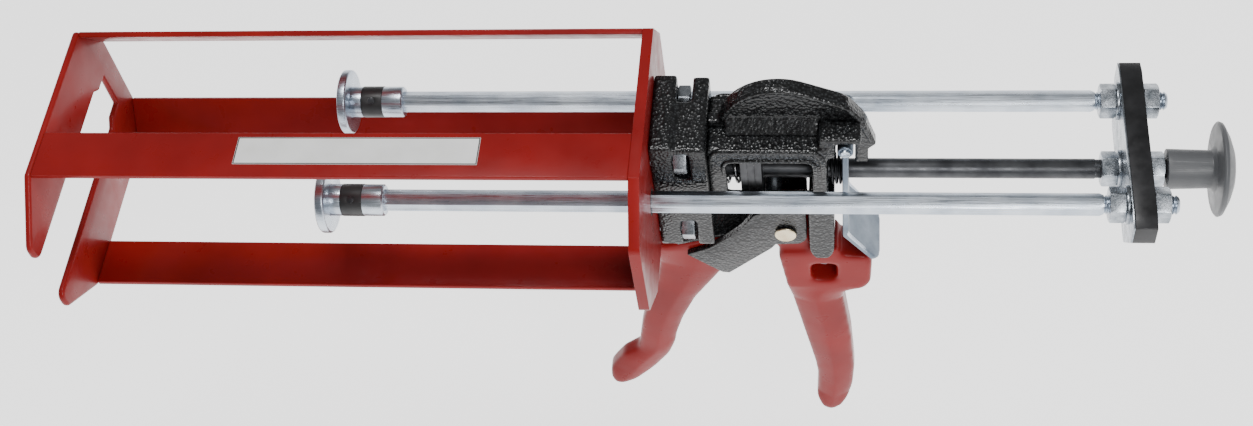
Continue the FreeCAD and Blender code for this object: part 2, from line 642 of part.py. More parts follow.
# ---------------------------------------------------------------- release lever
def make_release_lever():
    """A plate round the drive rod, hung from a pin through the dome web, its tab bent back."""
    body = doc.addObject("PartDesign::Body", "lever_sheet")
    corners = [
        ("lever_front", "pin_z - pin_radius - 1"),
        ("lever_front + lever_thickness", "pin_z - pin_radius - 1"),
        ("lever_front + lever_thickness", "-lever_bend"), ("tab_reach", "-tab_drop"),
        ("tab_reach - lever_thickness * 0.8", "-tab_drop - lever_thickness * 0.6"),
        ("lever_front", "-lever_bend - lever_thickness * 0.4"),
    ]
    pad(body, polygon(body, "XZ_Plane", "0", corners), "2 * lever_half_width", both_ways=True)
    round_edges(body, "tab_corner", lambda edge: middle(edge).z < -size("tab_drop") + 0.1
                and abs(middle(edge).y) > size("lever_half_width") - 0.1 and edge.Length < 4)
    knuckle = cylinder("lever_knuckle", "knuckle_radius", "2 * lever_half_width",
                       "pin_x", "-lever_half_width", "pin_z", ALONG_Y)
    tools = [
        cylinder("lever_pin_hole", "pin_radius + running_gap", "4 * lever_half_width",
                 "pin_x", "-2 * lever_half_width", "pin_z", ALONG_Y),
        cylinder("lever_rod_hole", "lever_bore", "4 * lever_thickness",
                 "lever_front - lever_thickness", "0", "-drive_drop"),
        block("lever_notch", ("bridge_end", "-notch_half_width", "notch_bottom"),
              ("hood_end", "notch_half_width", "hood_top")),
    ]
    keep(cut("lever_cut", fuse("lever_solid", [body, knuckle]), tools), "release_lever")
    pin = cylinder("release_pin_bar", "pin_radius", "2 * pin_half_length", "pin_x", "-pin_half_length",
                   "pin_z", ALONG_Y)
    keep(pin, "release_pin")


# ---------------------------------------------------------------- trigger
def make_trigger():
    """The red trigger, between its two cheeks, with a hook for the last finger."""
    body = new_body("trigger")
    corners = [
        ("9", "-61.5"), ("29", "-55"), ("41", "-51.5"), ("43", "-59"), ("33", "-78"),
        ("13.6", "-111.4"), ("6.5", "-129.3"), ("2.1", "-144.3"), ("0.6", "-153"), ("-3.2", "-163.8"),
        ("-11.7", "-177.1"), ("-21.5", "-187"), ("-29.5", "-191"), ("-33.5", "-190.3"), ("-35.2", "-186"),
        ("-34.6", "-179.5"), ("-32", "-174.5"), ("-26.7", "-165.8"), ("-18", "-159"), ("-16.8", "-150"),
        ("-14", "-133.5"), ("-3.4", "-96.7"),
        ("-1", "-82"), ("-2.5", "-72"), ("0.5", "-64"),
    ]
    pad(body, polygon(body, "XZ_Plane", "0", corners), "2 * trigger_half_width", both_ways=True)
    holes = [("dowel_x", "-dowel_z", "dowel_radius"), ("dowel_rear_x", "-dowel_rear_z", "dowel_radius")]
    pocket(body, circles(body, "XZ_Plane", "0", holes), "3 * trigger_half_width", both_ways=True)


def make_trigger_cap():
    """A dark cap over the trigger's shoulder, between the cheeks."""
    body = new_body("trigger_cap")
    corners = [("9", "-61.5"), ("29", "-55"), ("41", "-51.5"), ("41", "-49.5"), ("29", "-53"),
               ("9", "-59.5")]
    pad(body, polygon(body, "XZ_Plane", "0", corners), "2 * trigger_half_width", both_ways=True)


def make_cheek(end, sign):
    """A dark side plate that carries the trigger on its pivot and the push roller."""
    corners = [
        ("13.5", "-64.5"), ("24", "-59"), ("33", "-50.5"), ("39", "-43.5"), ("44.6", "-34"), ("51", "-30"),
        ("51", "-23.5"),
        ("53", "-21"), ("60", "-21"), ("66.5", "-26"), ("67.8", "-32"), ("67.8", "-50"),
        ("66.8", "-52.7"), ("64.5", "-54.9"), ("54", "-55.6"), ("52", "-58.8"), ("32", "-79.1"),
        ("28.7", "-78.6"),
    ]
    body = doc.addObject("PartDesign::Body", f"cheek_blank_{end}")
    start = "-cheek_outer" if sign > 0 else "cheek_inner"
    sketch = polygon(body, "XZ_Plane", start, corners)
    pad(body, sketch, "cheek_outer - cheek_inner")
    reach = "4 * cheek_outer"
    tools = [
        cylinder(f"cheek_pivot_{end}", "pivot_radius + running_gap", reach, "pivot_x", "-2 * cheek_outer",
                 "-pivot_z", ALONG_Y),
        cylinder(f"cheek_roller_{end}", "roller_pin_radius", reach, "roller_x", "-2 * cheek_outer",
                 "-roller_z", ALONG_Y),
    ]
    for place in ("dowel", "dowel_rear"):
        tools.append(cylinder(f"cheek_{place}_{end}", "dowel_radius", "2 * dowel_half_length",
                              place + "_x", "-dowel_half_length", f"-{place}_z", ALONG_Y))
    keep(cut(f"trigger_cheek_{end}_cut", body, tools), f"trigger_cheek_{end}")


def make_trigger_pins():
    dowels = [
        cylinder("dowel_front", "dowel_radius", "2 * dowel_half_length",
                 "dowel_x", "-dowel_half_length", "-dowel_z", ALONG_Y),
        cylinder("dowel_back", "dowel_radius", "2 * dowel_half_length",
                 "dowel_rear_x", "-dowel_half_length", "-dowel_rear_z", ALONG_Y),
    ]
    keep(group("trigger_dowels", dowels), "trigger_dowels")
    roller = cylinder("roller_drum", "roller_radius", "2 * cheek_inner",
                      "roller_x", "-cheek_inner", "-roller_z", ALONG_Y)
    spigot = cylinder("roller_spigot", "roller_pin_radius", "2 * cheek_outer",
                      "roller_x", "-cheek_outer", "-roller_z", ALONG_Y)
    keep(fuse("push_roller_solid", [roller, spigot]), "push_roller")


def make_pivot():
    """The pivot rivet, with a domed head clear of each cheek."""
    shank = cylinder("pivot_shank", "pivot_radius", "2 * (cheek_outer + cheek_gap)",
                     "pivot_x", "-cheek_outer - cheek_gap", "-pivot_z", ALONG_Y)
    solids = [shank]
    for end, start in (("near", "-cheek_outer - cheek_gap - pivot_head"),
                       ("far", "cheek_outer + cheek_gap")):
        head = cylinder(f"pivot_head_{end}", "pivot_head_radius", "pivot_head", "pivot_x", start,
                        "-pivot_z", ALONG_Y)
        solids.append(head)
    keep(fuse("trigger_pivot_solid", solids), "trigger_pivot")


# ---------------------------------------------------------------- rear grip
def make_rear_grip():
    """The fixed grip: a hand-sized bar, a tail over the web of the thumb, a tongue up to the pivot."""
    body = doc.addObject("PartDesign::Body", "grip_bar")
    corners = [
        ("56.5", "-64.5"), ("69", "-64.5"), ("69", "-lug_bottom"), ("81", "-lug_bottom"),
        ("83", "-66.5"), ("95", "-67.5"), ("96.8", "-72"), ("96.3", "-89"), ("92.5", "-95"),
        ("84.6", "-98"),
        ("83.6", "-106"), ("87.2", "-140"), ("89", "-172"), ("88", "-190"), ("86", "-199"),
        ("82.5", "-206"),
        ("77.5", "-209.3"), ("72.5", "-207"), ("70", "-200"), ("70.8", "-180"), ("69.8", "-168"),
        ("58", "-95"), ("54.4", "-67.5"),
    ]
    pad(body, polygon(body, "XZ_Plane", "0", corners), "2 * grip_half_width", both_ways=True)
    tongue = doc.addObject("PartDesign::Body", "grip_tongue")
    corners = [("50", "-35"), ("lug_start", "-35"), ("lug_start", "-66"), ("56", "-66"), ("50", "-57")]
    pad(tongue, polygon(tongue, "XZ_Plane", "0", corners), "2 * tongue_half_width", both_ways=True)
    tools = [
        cylinder("tongue_pivot_hole", "pivot_radius", "4 * cheek_outer", "pivot_x", "-2 * cheek_outer",
                 "-pivot_z", ALONG_Y),
        cylinder("grip_bolt_hole", "grip_bolt_radius + 0.3", "3 * lug_bottom", "grip_bolt_x", "0",
                 "-grip_bolt_seat - 1", FreeCAD.Rotation()),
        cylinder("grip_pocket", "pocket_radius", "13", "grip_bolt_x", "0", "-grip_bolt_seat - 13",
                 FreeCAD.Rotation()),
        block("grip_pocket_mouth", ("grip_bolt_x - pocket_radius", "-grip_half_width - 1",
                                    "-grip_bolt_seat - 13"),
              ("grip_bolt_x + pocket_radius", "0", "-grip_bolt_seat")),
    ]
    keep(cut("rear_grip_carved", fuse("grip_solid", [body, tongue]), tools), "rear_grip")
    shank = cylinder("grip_bolt_shank", "grip_bolt_radius", "grip_bolt_seat - grip_bolt_top - 0.5",
                     "grip_bolt_x", "0",
                     "-grip_bolt_seat", FreeCAD.Rotation())
    head = cylinder("grip_bolt_cap", "grip_bolt_head_radius", "grip_bolt_head", "grip_bolt_x", "0",
                    "-grip_bolt_seat - grip_bolt_head", FreeCAD.Rotation())
    keep(fuse("grip_bolt_solid", [shank, head]), "grip_bolt")


# ---------------------------------------------------------------- build
make_front_plate()
make_rear_plate()
make_level_bar("label_bar", "half_height", "half_height - bar_thickness")
make_level_bar("lower_bar", "-half_height + bar_thickness", "-half_height")
make_far_bar("upper_far_bar", "")
make_far_bar("lower_far_bar", "-")
make_label()
make_mounting_block()
make_bridge()
make_dome()
make_rod_bush("rod_bush_near", "-")
make_rod_bush("rod_bush_far", "")
make_drive_bush()
make_frame_bolts()
make_push_rod("push_rod_near", "-rod_offset")
make_push_rod("push_rod_far", "rod_offset")
make_drive_rod()
make_yoke_plate("yoke_facing_plate", "yoke_front", "yoke_facing")
make_yoke_plate("yoke_plate", "yoke_front + yoke_facing", "yoke_plate")
make_yoke_fasteners()
make_knob()
make_plunger("near", "-rod_offset")
make_plunger("far", "rod_offset")
drill_for_set_screws()
make_plunger_screws()
for number, place in enumerate(("front", "middle", "rear")):
    make_grip_plate(f"grip_plate_{place}", number)
make_springs()
make_release_lever()
make_trigger()
make_trigger_cap()
make_cheek("near", 1)
make_cheek("far", -1)
make_trigger_pins()
make_pivot()
make_rear_grip()
doc.recompute()

for item in doc.Objects:
    if "Invalid" in item.State or "Error" in item.State:
        raise RuntimeError(f"{item.Label} did not recompute")
os.makedirs("parts", exist_ok=True)
for piece in pieces:
    shape = piece.Shape
    if shape.isNull() or not shape.isValid() or not shape.Solids:
        raise RuntimeError(f"{piece.Label} has no valid shape")
    shape.exportStep(f"parts/{piece.Label}.step")
print(len(pieces), "sub-parts written")
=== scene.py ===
"""Looks for the two-cartridge caulking gun. Metres, in the CAD frame: X along the rods, Y across, Z up."""
import json
import math

import bmesh
import bpy
from mathutils import Matrix, Vector


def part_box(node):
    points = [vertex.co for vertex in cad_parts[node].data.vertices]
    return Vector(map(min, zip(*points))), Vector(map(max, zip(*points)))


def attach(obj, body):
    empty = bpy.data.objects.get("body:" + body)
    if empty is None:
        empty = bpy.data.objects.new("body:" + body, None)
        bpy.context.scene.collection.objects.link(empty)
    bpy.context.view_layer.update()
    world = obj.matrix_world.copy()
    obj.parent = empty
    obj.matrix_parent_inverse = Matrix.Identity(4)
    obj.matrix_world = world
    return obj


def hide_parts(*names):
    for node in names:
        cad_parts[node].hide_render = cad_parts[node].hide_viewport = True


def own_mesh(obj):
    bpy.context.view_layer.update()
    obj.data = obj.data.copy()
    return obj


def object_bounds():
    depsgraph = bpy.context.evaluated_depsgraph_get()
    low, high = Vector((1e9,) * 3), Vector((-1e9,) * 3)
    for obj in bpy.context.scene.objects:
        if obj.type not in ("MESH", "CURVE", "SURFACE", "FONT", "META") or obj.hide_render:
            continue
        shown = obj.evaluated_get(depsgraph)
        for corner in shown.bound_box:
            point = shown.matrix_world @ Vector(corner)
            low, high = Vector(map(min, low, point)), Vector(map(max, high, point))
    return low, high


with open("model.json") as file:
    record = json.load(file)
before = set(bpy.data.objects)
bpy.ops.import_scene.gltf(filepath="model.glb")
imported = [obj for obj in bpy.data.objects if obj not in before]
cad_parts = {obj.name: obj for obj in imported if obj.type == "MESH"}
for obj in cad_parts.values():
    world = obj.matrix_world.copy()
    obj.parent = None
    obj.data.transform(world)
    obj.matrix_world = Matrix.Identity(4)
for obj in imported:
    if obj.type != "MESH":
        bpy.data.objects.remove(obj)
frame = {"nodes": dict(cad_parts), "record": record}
CAD_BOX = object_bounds()
MM = 0.001
WELD_DISTANCE = 0.002 * MM  # vertices nearer than this are one
FLAT_ANGLE = math.radians(0.8)  # faces that meet at less than this are one flat face
EDGE_ANGLE = math.radians(28)  # an edge that turns by more than this gets a chamfer
BODY_OF = {node: body for body, nodes in frame["record"]["behaviour"]["bodies"].items() for node in nodes}
SLOT_OF = {entry["node"]: entry["material_slot"] for entry in frame["record"]["subparts"]}


def linked(name, data):
    """A new object in the scene that holds this data."""
    obj = bpy.data.objects.new(name, data)
    bpy.context.scene.collection.objects.link(obj)
    return obj


# ---------------------------------------------------------------- camera, floor and light
def make_camera():
    """The main viewpoint: from above the near side, a little to the rear, with a slight roll."""
    camera = bpy.data.cameras.new("camera")
    camera.lens = 50.72
    camera.sensor_width = 36
    camera.clip_start = 0.01
    camera.clip_end = 50
    view = linked("camera", camera)
    place = Vector((0.09076, -0.45397, 0.5982))
    right = Vector((0.99139, 0.08113, -0.10276))
    up = Vector((-0.00711, 0.81707, 0.57650))
    axes = Matrix((right, up, right.cross(up))).transposed().to_4x4()
    view.matrix_world = Matrix.Translation(place) @ axes
    bpy.context.scene.camera = view


def make_light(name, place, target, size, power):
    """A soft square light that faces its target."""
    light = bpy.data.lights.new(name, "AREA")
    light.size = size
    light.energy = power
    lamp = linked(name, light)
    lamp.location = place
    lamp.rotation_euler = (Vector(target) - Vector(place)).to_track_quat("-Z", "Y").to_euler()


def make_surroundings():
    """A pale floor below the gun, an even white surround, and two soft lamps."""
    floor_mesh = bpy.data.meshes.new("floor")
    reach, drop = 25, 0.09
    level = CAD_BOX[0][2] - drop
    floor_mesh.from_pydata(
        [(-reach, -reach, level), (reach, -reach, level), (reach, reach, level), (-reach, reach, level)],
        [], [(0, 1, 2, 3)])
    floor = linked("floor", floor_mesh)
    paint = bpy.data.materials.new("pale_floor")
    paint.use_nodes = True
    shader = paint.node_tree.nodes["Principled BSDF"]
    shader.inputs["Base Color"].default_value = (0.9, 0.9, 0.9, 1)
    shader.inputs["Roughness"].default_value = 0.9
    shader.inputs["Emission Color"].default_value = (1, 1, 1, 1)
    shader.inputs["Emission Strength"].default_value = 1.5
    floor_mesh.materials.append(paint)
    world = bpy.data.worlds.new("world")
    world.use_nodes = True
    world.node_tree.nodes["Background"].inputs["Color"].default_value = (1, 1, 1, 1)
    world.node_tree.nodes["Background"].inputs["Strength"].default_value = 0.28
    bpy.context.scene.world = world
    make_light("key", place=(0.45, -0.85, 0.8), target=(0, 0, -0.03), size=0.5, power=9)
    make_light("top", place=(-0.1, 0.1, 1.1), target=(0, 0, 0), size=0.35, power=9)


# ---------------------------------------------------------------- material helpers
def feed(tree, socket, value):
    """Links the value to the socket when it is a socket itself, and sets it when it isn't."""
    if isinstance(value, bpy.types.NodeSocket):
        tree.links.new(value, socket)
    else:
        socket.default_value = value


def add(tree, kind, **inputs):
    """A shader node with these inputs set to values, or linked when given a socket."""
    made = tree.nodes.new(kind)
    for name, value in inputs.items():
        feed(tree, made.inputs[name.replace("_", " ")], value)
    return made


def start(name, metallic, specular=0.5):
    """A new material, its node tree and its shader."""
    made = bpy.data.materials.new(name)
    made.use_nodes = True
    shader = made.node_tree.nodes["Principled BSDF"]
    shader.inputs["Metallic"].default_value = metallic
    shader.inputs["Specular IOR Level"].default_value = specular
    return made, made.node_tree, shader


def place_of(tree, stretch=(1, 1, 1)):
    """Object coordinates in metres, optionally stretched along an axis."""
    coordinates = add(tree, "ShaderNodeTexCoord").outputs["Object"]
    return add(tree, "ShaderNodeMapping", Vector=coordinates, Scale=stretch).outputs["Vector"]


def noise(tree, scale, detail=3.0, stretch=(1, 1, 1)):
    """A factor that wanders round 0.5, with features about 1/scale metres wide."""
    return add(tree, "ShaderNodeTexNoise", Vector=place_of(tree, stretch), Scale=scale,
               Detail=detail).outputs["Fac"]


def ramp(tree, factor, *stops):
    """Colours over a factor. Each stop is (position, (r, g, b))."""
    made = add(tree, "ShaderNodeValToRGB", Fac=factor)
    elements = made.color_ramp.elements
    while len(elements) < len(stops):
        elements.new(0.5)
    for element, (position, color) in zip(elements, stops):
        element.position = position
        element.color = (*color, 1)
    return made.outputs["Color"]


def span(tree, factor, low, high):
    """A factor between 0.3 and 0.7 becomes a number between low and high."""
    made = add(tree, "ShaderNodeMapRange", Value=factor)
    for name, value in (("From Min", 0.3), ("From Max", 0.7), ("To Min", low), ("To Max", high)):
        made.inputs[name].default_value = value
    return made.outputs["Result"]


def maths(tree, operation, first, second):
    """The result of the operation, kept between 0 and 1."""
    made = tree.nodes.new("ShaderNodeMath")
    made.operation = operation
    made.use_clamp = True
    for socket, value in zip(made.inputs, (first, second)):
        feed(tree, socket, value)
    return made.outputs["Value"]


def mixed(tree, factor, under, over):
    """The colour over, (r, g, b), laid on the colour socket under where the factor is 1."""
    color_a, color_b, color_out = 6, 7, 2  # the mix node's colour sockets, which share names with others
    made = tree.nodes.new("ShaderNodeMix")
    made.data_type = "RGBA"
    tree.links.new(factor, made.inputs["Factor"])
    feed(tree, made.inputs[color_a], under)
    feed(tree, made.inputs[color_b], (*over, 1))
    return made.outputs[color_out]


def edge_wear(tree, radius, chips_scale, amount):
    """1 on edges where the coat has chipped through, 0 elsewhere. A bevelled normal shows where the edges are."""
    flat_limit, sharpness = 0.9, 8
    rounded = add(tree, "ShaderNodeBevel", Radius=radius)
    rounded.samples = 4
    dot = tree.nodes.new("ShaderNodeVectorMath")
    dot.operation = "DOT_PRODUCT"
    tree.links.new(rounded.outputs["Normal"], dot.inputs[0])
    tree.links.new(add(tree, "ShaderNodeNewGeometry").outputs["Normal"], dot.inputs[1])
    edge = maths(tree, "SUBTRACT", flat_limit, dot.outputs["Value"])
    sharp = maths(tree, "MULTIPLY", edge, sharpness)
    chips = maths(tree, "GREATER_THAN", noise(tree, chips_scale, detail=4), 1 - amount)
    return maths(tree, "MULTIPLY", sharp, chips)


def relief(tree, shader, height, strength, depth):
    """A fine bump of the shader's surface, depth metres deep."""
    made = add(tree, "ShaderNodeBump", Height=height)
    made.inputs["Strength"].default_value = strength
    made.inputs["Distance"].default_value = depth
    tree.links.new(made.outputs["Normal"], shader.inputs["Normal"])


# ---------------------------------------------------------------- materials
def red_paint(name, chips):
    """Gloss powder coat with orange peel and a slight change of tone. Its edges are chipped if chips isn't 0."""
    made, tree, shader = start(name, metallic=0, specular=0.12)
    tone = ramp(tree, noise(tree, 22), (0.35, (0.19, 0.0085, 0.008)), (0.65, (0.25, 0.0115, 0.0105)))
    if chips:
        worn = edge_wear(tree, radius=0.5 * MM, chips_scale=210, amount=chips)
        tone = mixed(tree, worn, tone, (0.12, 0.045, 0.04))
    tree.links.new(tone, shader.inputs["Base Color"])
    tree.links.new(span(tree, noise(tree, 130), low=0.26, high=0.4), shader.inputs["Roughness"])
    shader.inputs["Coat Weight"].default_value = 0.07
    shader.inputs["Coat Roughness"].default_value = 0.1
    relief(tree, shader, noise(tree, 750, detail=2), strength=0.15, depth=0.1 * MM)
    return made


def hammertone_paint():
    """Dark hammer paint in small cells. Each cell is bright in the middle as a painted highlight, and painted
    shade darkens it towards the veins between them.
    """
    made, tree, shader = start("hammertone_paint", metallic=0.2)
    cells = tree.nodes.new("ShaderNodeTexVoronoi")
    cells.feature = "SMOOTH_F1"
    tree.links.new(place_of(tree), cells.inputs["Vector"])
    cells.inputs["Scale"].default_value = 780
    cells.inputs["Smoothness"].default_value = 0.4
    distance = cells.outputs["Distance"]
    # The cell pattern is the paint's own; the bright cell middles are a painted highlight and the dark veins
    # painted shade.
    tone = ramp(tree, distance, (0.10, (0.040, 0.043, 0.046)), (0.35, (0.014, 0.015, 0.016)),
                (0.65, (0.004, 0.004, 0.0045)))
    tree.links.new(tone, shader.inputs["Base Color"])
    tree.links.new(span(tree, noise(tree, 300), low=0.16, high=0.32), shader.inputs["Roughness"])
    relief(tree, shader, distance, strength=0.65, depth=0.42 * MM)
    return made


def plated(name, dark, light, scale, grain, rough):
    """Bright plated steel with a slow change of tone. grain stretches its scratches along each axis."""
    made, tree, shader = start(name, metallic=1)
    tone = ramp(tree, noise(tree, scale), (0.32, dark), (0.68, light))
    tree.links.new(tone, shader.inputs["Base Color"])
    scratches = noise(tree, 60, detail=4, stretch=grain)
    tree.links.new(span(tree, scratches, *rough), shader.inputs["Roughness"])
    relief(tree, shader, scratches, strength=0.18, depth=0.05 * MM)
    return made


def coated_steel(name, dark, light, metallic, rough, amount):
    """Dark coated or blackened steel, rubbed to bare metal here and there on its edges."""
    made, tree, shader = start(name, metallic)
    tone = ramp(tree, noise(tree, 95, detail=5), (0.35, dark), (0.65, light))
    worn = edge_wear(tree, radius=0.5 * MM, chips_scale=320, amount=amount)
    tree.links.new(mixed(tree, worn, tone, (0.30, 0.30, 0.31)), shader.inputs["Base Color"])
    tree.links.new(span(tree, noise(tree, 240, detail=4), *rough), shader.inputs["Roughness"])
    relief(tree, shader, noise(tree, 1100), strength=0.2, depth=0.06 * MM)
    return made


def moulded(name, dark, light, grain):
    """Moulded plastic with a fine spark-eroded grain and faint flow marks."""
    made, tree, shader = start(name, metallic=0)
    tone = ramp(tree, noise(tree, 40, detail=4), (0.35, dark), (0.65, light))
    tree.links.new(tone, shader.inputs["Base Color"])
    tree.links.new(span(tree, noise(tree, 180), low=0.36, high=0.52), shader.inputs["Roughness"])
    relief(tree, shader, noise(tree, grain, detail=2), strength=0.25, depth=0.07 * MM)
    return made


def label_film():
    """Smooth white film, very slightly uneven."""
    made, tree, shader = start("label_film", metallic=0)
    tone = ramp(tree, noise(tree, 70), (0.35, (0.74, 0.74, 0.72)), (0.65, (0.82, 0.82, 0.81)))
    tree.links.new(tone, shader.inputs["Base Color"])
    tree.links.new(span(tree, noise(tree, 260), low=0.3, high=0.42), shader.inputs["Roughness"])
    relief(tree, shader, noise(tree, 500, detail=2), strength=0.1, depth=0.04 * MM)
    return made


MATERIALS = {
    "red_gloss_paint": red_paint("red_gloss_paint", chips=0.38),
    "red_grip_paint": red_paint("red_grip_paint", chips=0),
    "hammertone_paint": hammertone_paint(),
    "zinc_plate": plated("zinc_plate", (0.38, 0.43, 0.50), (0.60, 0.65, 0.71), scale=70,
                         grain=(1, 45, 45), rough=(0.2, 0.42)),
    "nut_zinc": plated("nut_zinc", (0.20, 0.225, 0.25), (0.47, 0.50, 0.54), scale=240,
                       grain=(25, 25, 25), rough=(0.2, 0.36)),
    # A darker copy of the zinc for the thumb tab plate: painted shade, set against the brighter zinc_plate of the
    # tab's own rim.
    "shaded_tab_zinc": plated("shaded_tab_zinc", (0.13, 0.16, 0.20), (0.24, 0.28, 0.33), scale=90,
                       grain=(30, 30, 30), rough=(0.34, 0.5)),
    "spring_steel": plated("spring_steel", (0.36, 0.36, 0.37), (0.58, 0.58, 0.58), scale=90,
                           grain=(12, 12, 12), rough=(0.25, 0.4)),
    "pivot_steel": plated("pivot_steel", (0.56, 0.46, 0.30), (0.74, 0.65, 0.47), scale=160,
                          grain=(20, 20, 20), rough=(0.22, 0.4)),
    "dark_steel": coated_steel("dark_steel", (0.035, 0.036, 0.04), (0.075, 0.077, 0.082), metallic=0.75,
                               rough=(0.3, 0.5), amount=0.42),
    "black_coated_steel": coated_steel("black_coated_steel", (0.008, 0.008, 0.009), (0.02, 0.02, 0.022),
                                       metallic=0.2, rough=(0.28, 0.48), amount=0.40),
    "black_plastic": moulded("black_plastic", (0.010, 0.010, 0.011), (0.02, 0.02, 0.021), grain=1300),
    "grey_plastic": moulded("grey_plastic", (0.075, 0.078, 0.083), (0.105, 0.108, 0.114), grain=1300),
    "label_film": label_film(),
    "label_edge": moulded("label_edge", (0.02, 0.02, 0.02), (0.04, 0.04, 0.04), grain=900),
}


# ---------------------------------------------------------------- mesh helpers
def adopt(obj, node, material=None):
    """Lets obj move with the node's body, stand for the node, and take its material slot."""
    if not obj.data.materials:
        obj.data.materials.append(MATERIALS[material or SLOT_OF[node]])
    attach(obj, BODY_OF[node])
    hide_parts(node)
    return obj


def from_bmesh(name, shape, sharp_angle=35):
    """An object from a bmesh, smooth except across edges sharper than the angle."""
    limit = math.radians(sharp_angle)
    for face in shape.faces:
        face.smooth = True
    for edge in shape.edges:
        edge.smooth = len(edge.link_faces) == 2 and edge.calc_face_angle(0) < limit
    mesh = bpy.data.meshes.new(name)
    shape.to_mesh(mesh)
    shape.free()
    return linked(name, mesh)


def joined_faces(node):
    """The node's shape with its vertices welded and its flat faces whole."""
    shape = bmesh.new()
    shape.from_mesh(frame["nodes"][node].data)
    bmesh.ops.remove_doubles(shape, verts=shape.verts, dist=WELD_DISTANCE)
    bmesh.ops.dissolve_limit(shape, angle_limit=FLAT_ANGLE, verts=shape.verts, edges=shape.edges)
    return shape


def machined(node, width, segments=2, material=None):
    """The node with its sharp edges broken by a small rounded chamfer."""
    shape = joined_faces(node)
    sharp = [edge for edge in shape.edges
             if len(edge.link_faces) == 2 and edge.calc_face_angle(0) > EDGE_ANGLE]
    bmesh.ops.bevel(shape, geom=sharp, offset=width, segments=segments, profile=0.5,
                    affect="EDGES", clamp_overlap=True)
    return adopt(from_bmesh(node + "_visual", shape), node, material)


def smoothed(node, voxel, passes, shape_it=None, material=None):
    """The node remeshed finely and smoothed, as a casting. shape_it then moves its vertices."""
    source = linked(node + "_source", frame["nodes"][node].data.copy())
    source.modifiers.new("weld", "WELD").merge_threshold = WELD_DISTANCE
    remesh = source.modifiers.new("remesh", "REMESH")
    remesh.mode = "VOXEL"
    remesh.voxel_size = voxel
    soften = source.modifiers.new("soften", "SMOOTH")
    soften.factor = 0.5
    soften.iterations = passes
    graph = bpy.context.evaluated_depsgraph_get()
    graph.update()
    mesh = bpy.data.meshes.new_from_object(source.evaluated_get(graph))
    bpy.data.objects.remove(source)
    mesh.materials.clear()
    for polygon in mesh.polygons:
        polygon.use_smooth = True
    if shape_it:
        shape_it(mesh.vertices)
    return adopt(linked(node + "_visual", mesh), node, material)


def skin(shape, rings):
    """Faces between rings of as many points each, with both ends capped."""
    loops = [[shape.verts.new(point) for point in ring] for ring in rings]
    count = len(loops[0])
    for first, second in zip(loops, loops[1:]):
        for i in range(count):
            shape.faces.new((first[i], first[(i + 1) % count], second[(i + 1) % count], second[i]))
    shape.faces.new(loops[0])
    shape.faces.new(loops[-1])
    bmesh.ops.recalc_face_normals(shape, faces=shape.faces)


def tube(name, node, path, radius, material=None, sides=12):
    """A rounded bead along a path, on the same body and slot as a node that it stands out from."""
    taper = 0.35
    shape = bmesh.new()
    rings = []
    turns = [math.tau * k / sides for k in range(sides)]
    for i, point in enumerate(path):
        ahead, behind = path[min(i + 1, len(path) - 1)], path[max(i - 1, 0)]
        along = (ahead - behind).normalized()
        across = side - along * side.dot(along) if rings else along.orthogonal()
        side = across.normalized()
        other = along.cross(side)
        share = taper if i in (0, len(path) - 1) else 1
        rings.append([point + (side * math.cos(turn) + other * math.sin(turn)) * radius * share
                      for turn in turns])
    skin(shape, rings)
    obj = from_bmesh(name, shape, sharp_angle=80)
    obj.data.materials.append(MATERIALS[material or SLOT_OF[node]])
    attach(obj, BODY_OF[node])


def rounded_path(corners, radius, steps=6):
    """Points along straight runs between corners, each inner corner turned smoothly."""
    points = [corners[0]]
    for before, corner, after in zip(corners, corners[1:], corners[2:]):
        reach = min(radius, (before - corner).length / 2, (after - corner).length / 2)
        enter = corner + (before - corner).normalized() * reach
        leave = corner + (after - corner).normalized() * reach
        for k in range(steps + 1):
            t = k / steps
            points.append(enter * (1 - t) ** 2 + corner * 2 * t * (1 - t) + leave * t ** 2)
    return points + [corners[-1]]


# ---------------------------------------------------------------- shaping of smoothed pieces
def crest(top, fall, depth):
    """A shaper that thins a handle towards its edges and leaves a ridge down its middle.

    It fades in below the height top and out at the handle's foot, each over a height of fall."""
    step = 3 * MM
    reach = 3 * step
    roll_off = 1.3

    def edges_at(spans, height):
        """The handle's two edges at a height, averaged over the levels round it."""
        weights = lows = highs = 0
        for level, (low, high) in spans.items():
            weight = max(0, 1 - abs(level * step - height) / reach) ** 2
            weights, lows, highs = weights + weight, lows + weight * low, highs + weight * high
        return lows / weights, highs / weights

    def shape_it(vertices):
        spans = {}
        for vertex in vertices:
            level = round(vertex.co.z / step)
            low, high = spans.get(level, (vertex.co.x, vertex.co.x))
            spans[level] = (min(low, vertex.co.x), max(high, vertex.co.x))
        bottom = min(vertex.co.z for vertex in vertices)
        for vertex in vertices:
            share = min(1, max(0, (top - vertex.co.z) / fall), (vertex.co.z - bottom) / fall)
            if share:
                low, high = edges_at(spans, vertex.co.z)
                offset = min(1, abs(vertex.co.x - (low + high) / 2) / max((high - low) / 2, step))
                vertex.co.y *= 1 - depth * share * offset ** roll_off
    return shape_it


def round_lug(vertices):
    """The bottom of the bridge's rear lug, rounded like a boss."""
    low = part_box("bridge_housing")[0]
    lug_middle, lug_round = 74.5 * MM, 8 * MM
    least, pull = 0.12, 0.88
    for vertex in vertices:
        drop = (low[2] + lug_round - vertex.co.z) / lug_round
        if drop > 0:
            keep = math.sqrt(max(least, 1 - pull * min(1, drop) ** 2))
            vertex.co.x = lug_middle + (vertex.co.x - lug_middle) * keep


